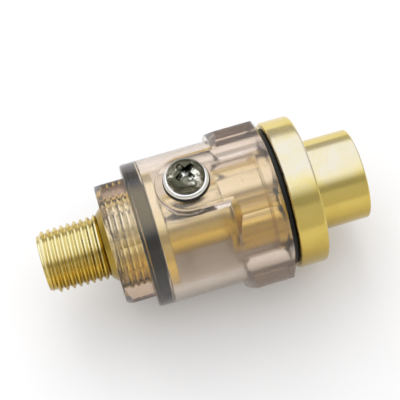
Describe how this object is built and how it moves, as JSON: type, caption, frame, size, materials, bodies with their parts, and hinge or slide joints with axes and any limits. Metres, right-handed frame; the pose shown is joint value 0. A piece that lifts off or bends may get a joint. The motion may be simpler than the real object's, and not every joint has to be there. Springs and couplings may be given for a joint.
{
  "type": "in-line air lubricator",
  "caption": "Mini in-line air lubricator: clear oil bowl with hexagon neck and collar round a brass flow tube, male threaded outlet, female threaded inlet and an oil fill screw.",
  "frame": {"origin": "on the flow axis, where the male outlet thread meets its shoulder", "axes": "+X along the flow axis towards the female inlet, +Z along the fill screw, away from the bowl"},
  "size_m": [0.0685, 0.0374, 0.0374],
  "materials": {
    "clear_plastic": "clear moulded plastic with a faint warm tint",
    "brass": "bright turned brass",
    "rubber": "black rubber",
    "plated_steel": "bright plated steel",
    "felt": "pressed felt"
  },
  "bodies": {
    "housing": {"bowl": "clear_plastic", "outlet_stem": "brass", "inlet_body": "brass", "neck_ring": "rubber", "bowl_gasket": "rubber", "tube_ring": "rubber", "feed_wick": "felt"},
    "washer": {"fill_washer": "plated_steel", "fill_seal": "rubber"},
    "screw": {"fill_screw": "plated_steel"}
  },
  "joints": [
    {"name": "fill_screw_lift", "type": "slide", "parent": "housing", "child": "washer", "axis": [0, 0, 1], "range_m": [0, 0.0056]},
    {"name": "fill_screw_turn", "type": "hinge", "parent": "washer", "child": "screw", "pos_m": [0.0208, 0, 0.0166], "axis": [0, 0, 1], "range_deg": [0, 2520]}
  ],
  "couplings": [
    {"joint": "fill_screw_turn", "follows": "fill_screw_lift", "rad_per_m": 7854}
  ]
}
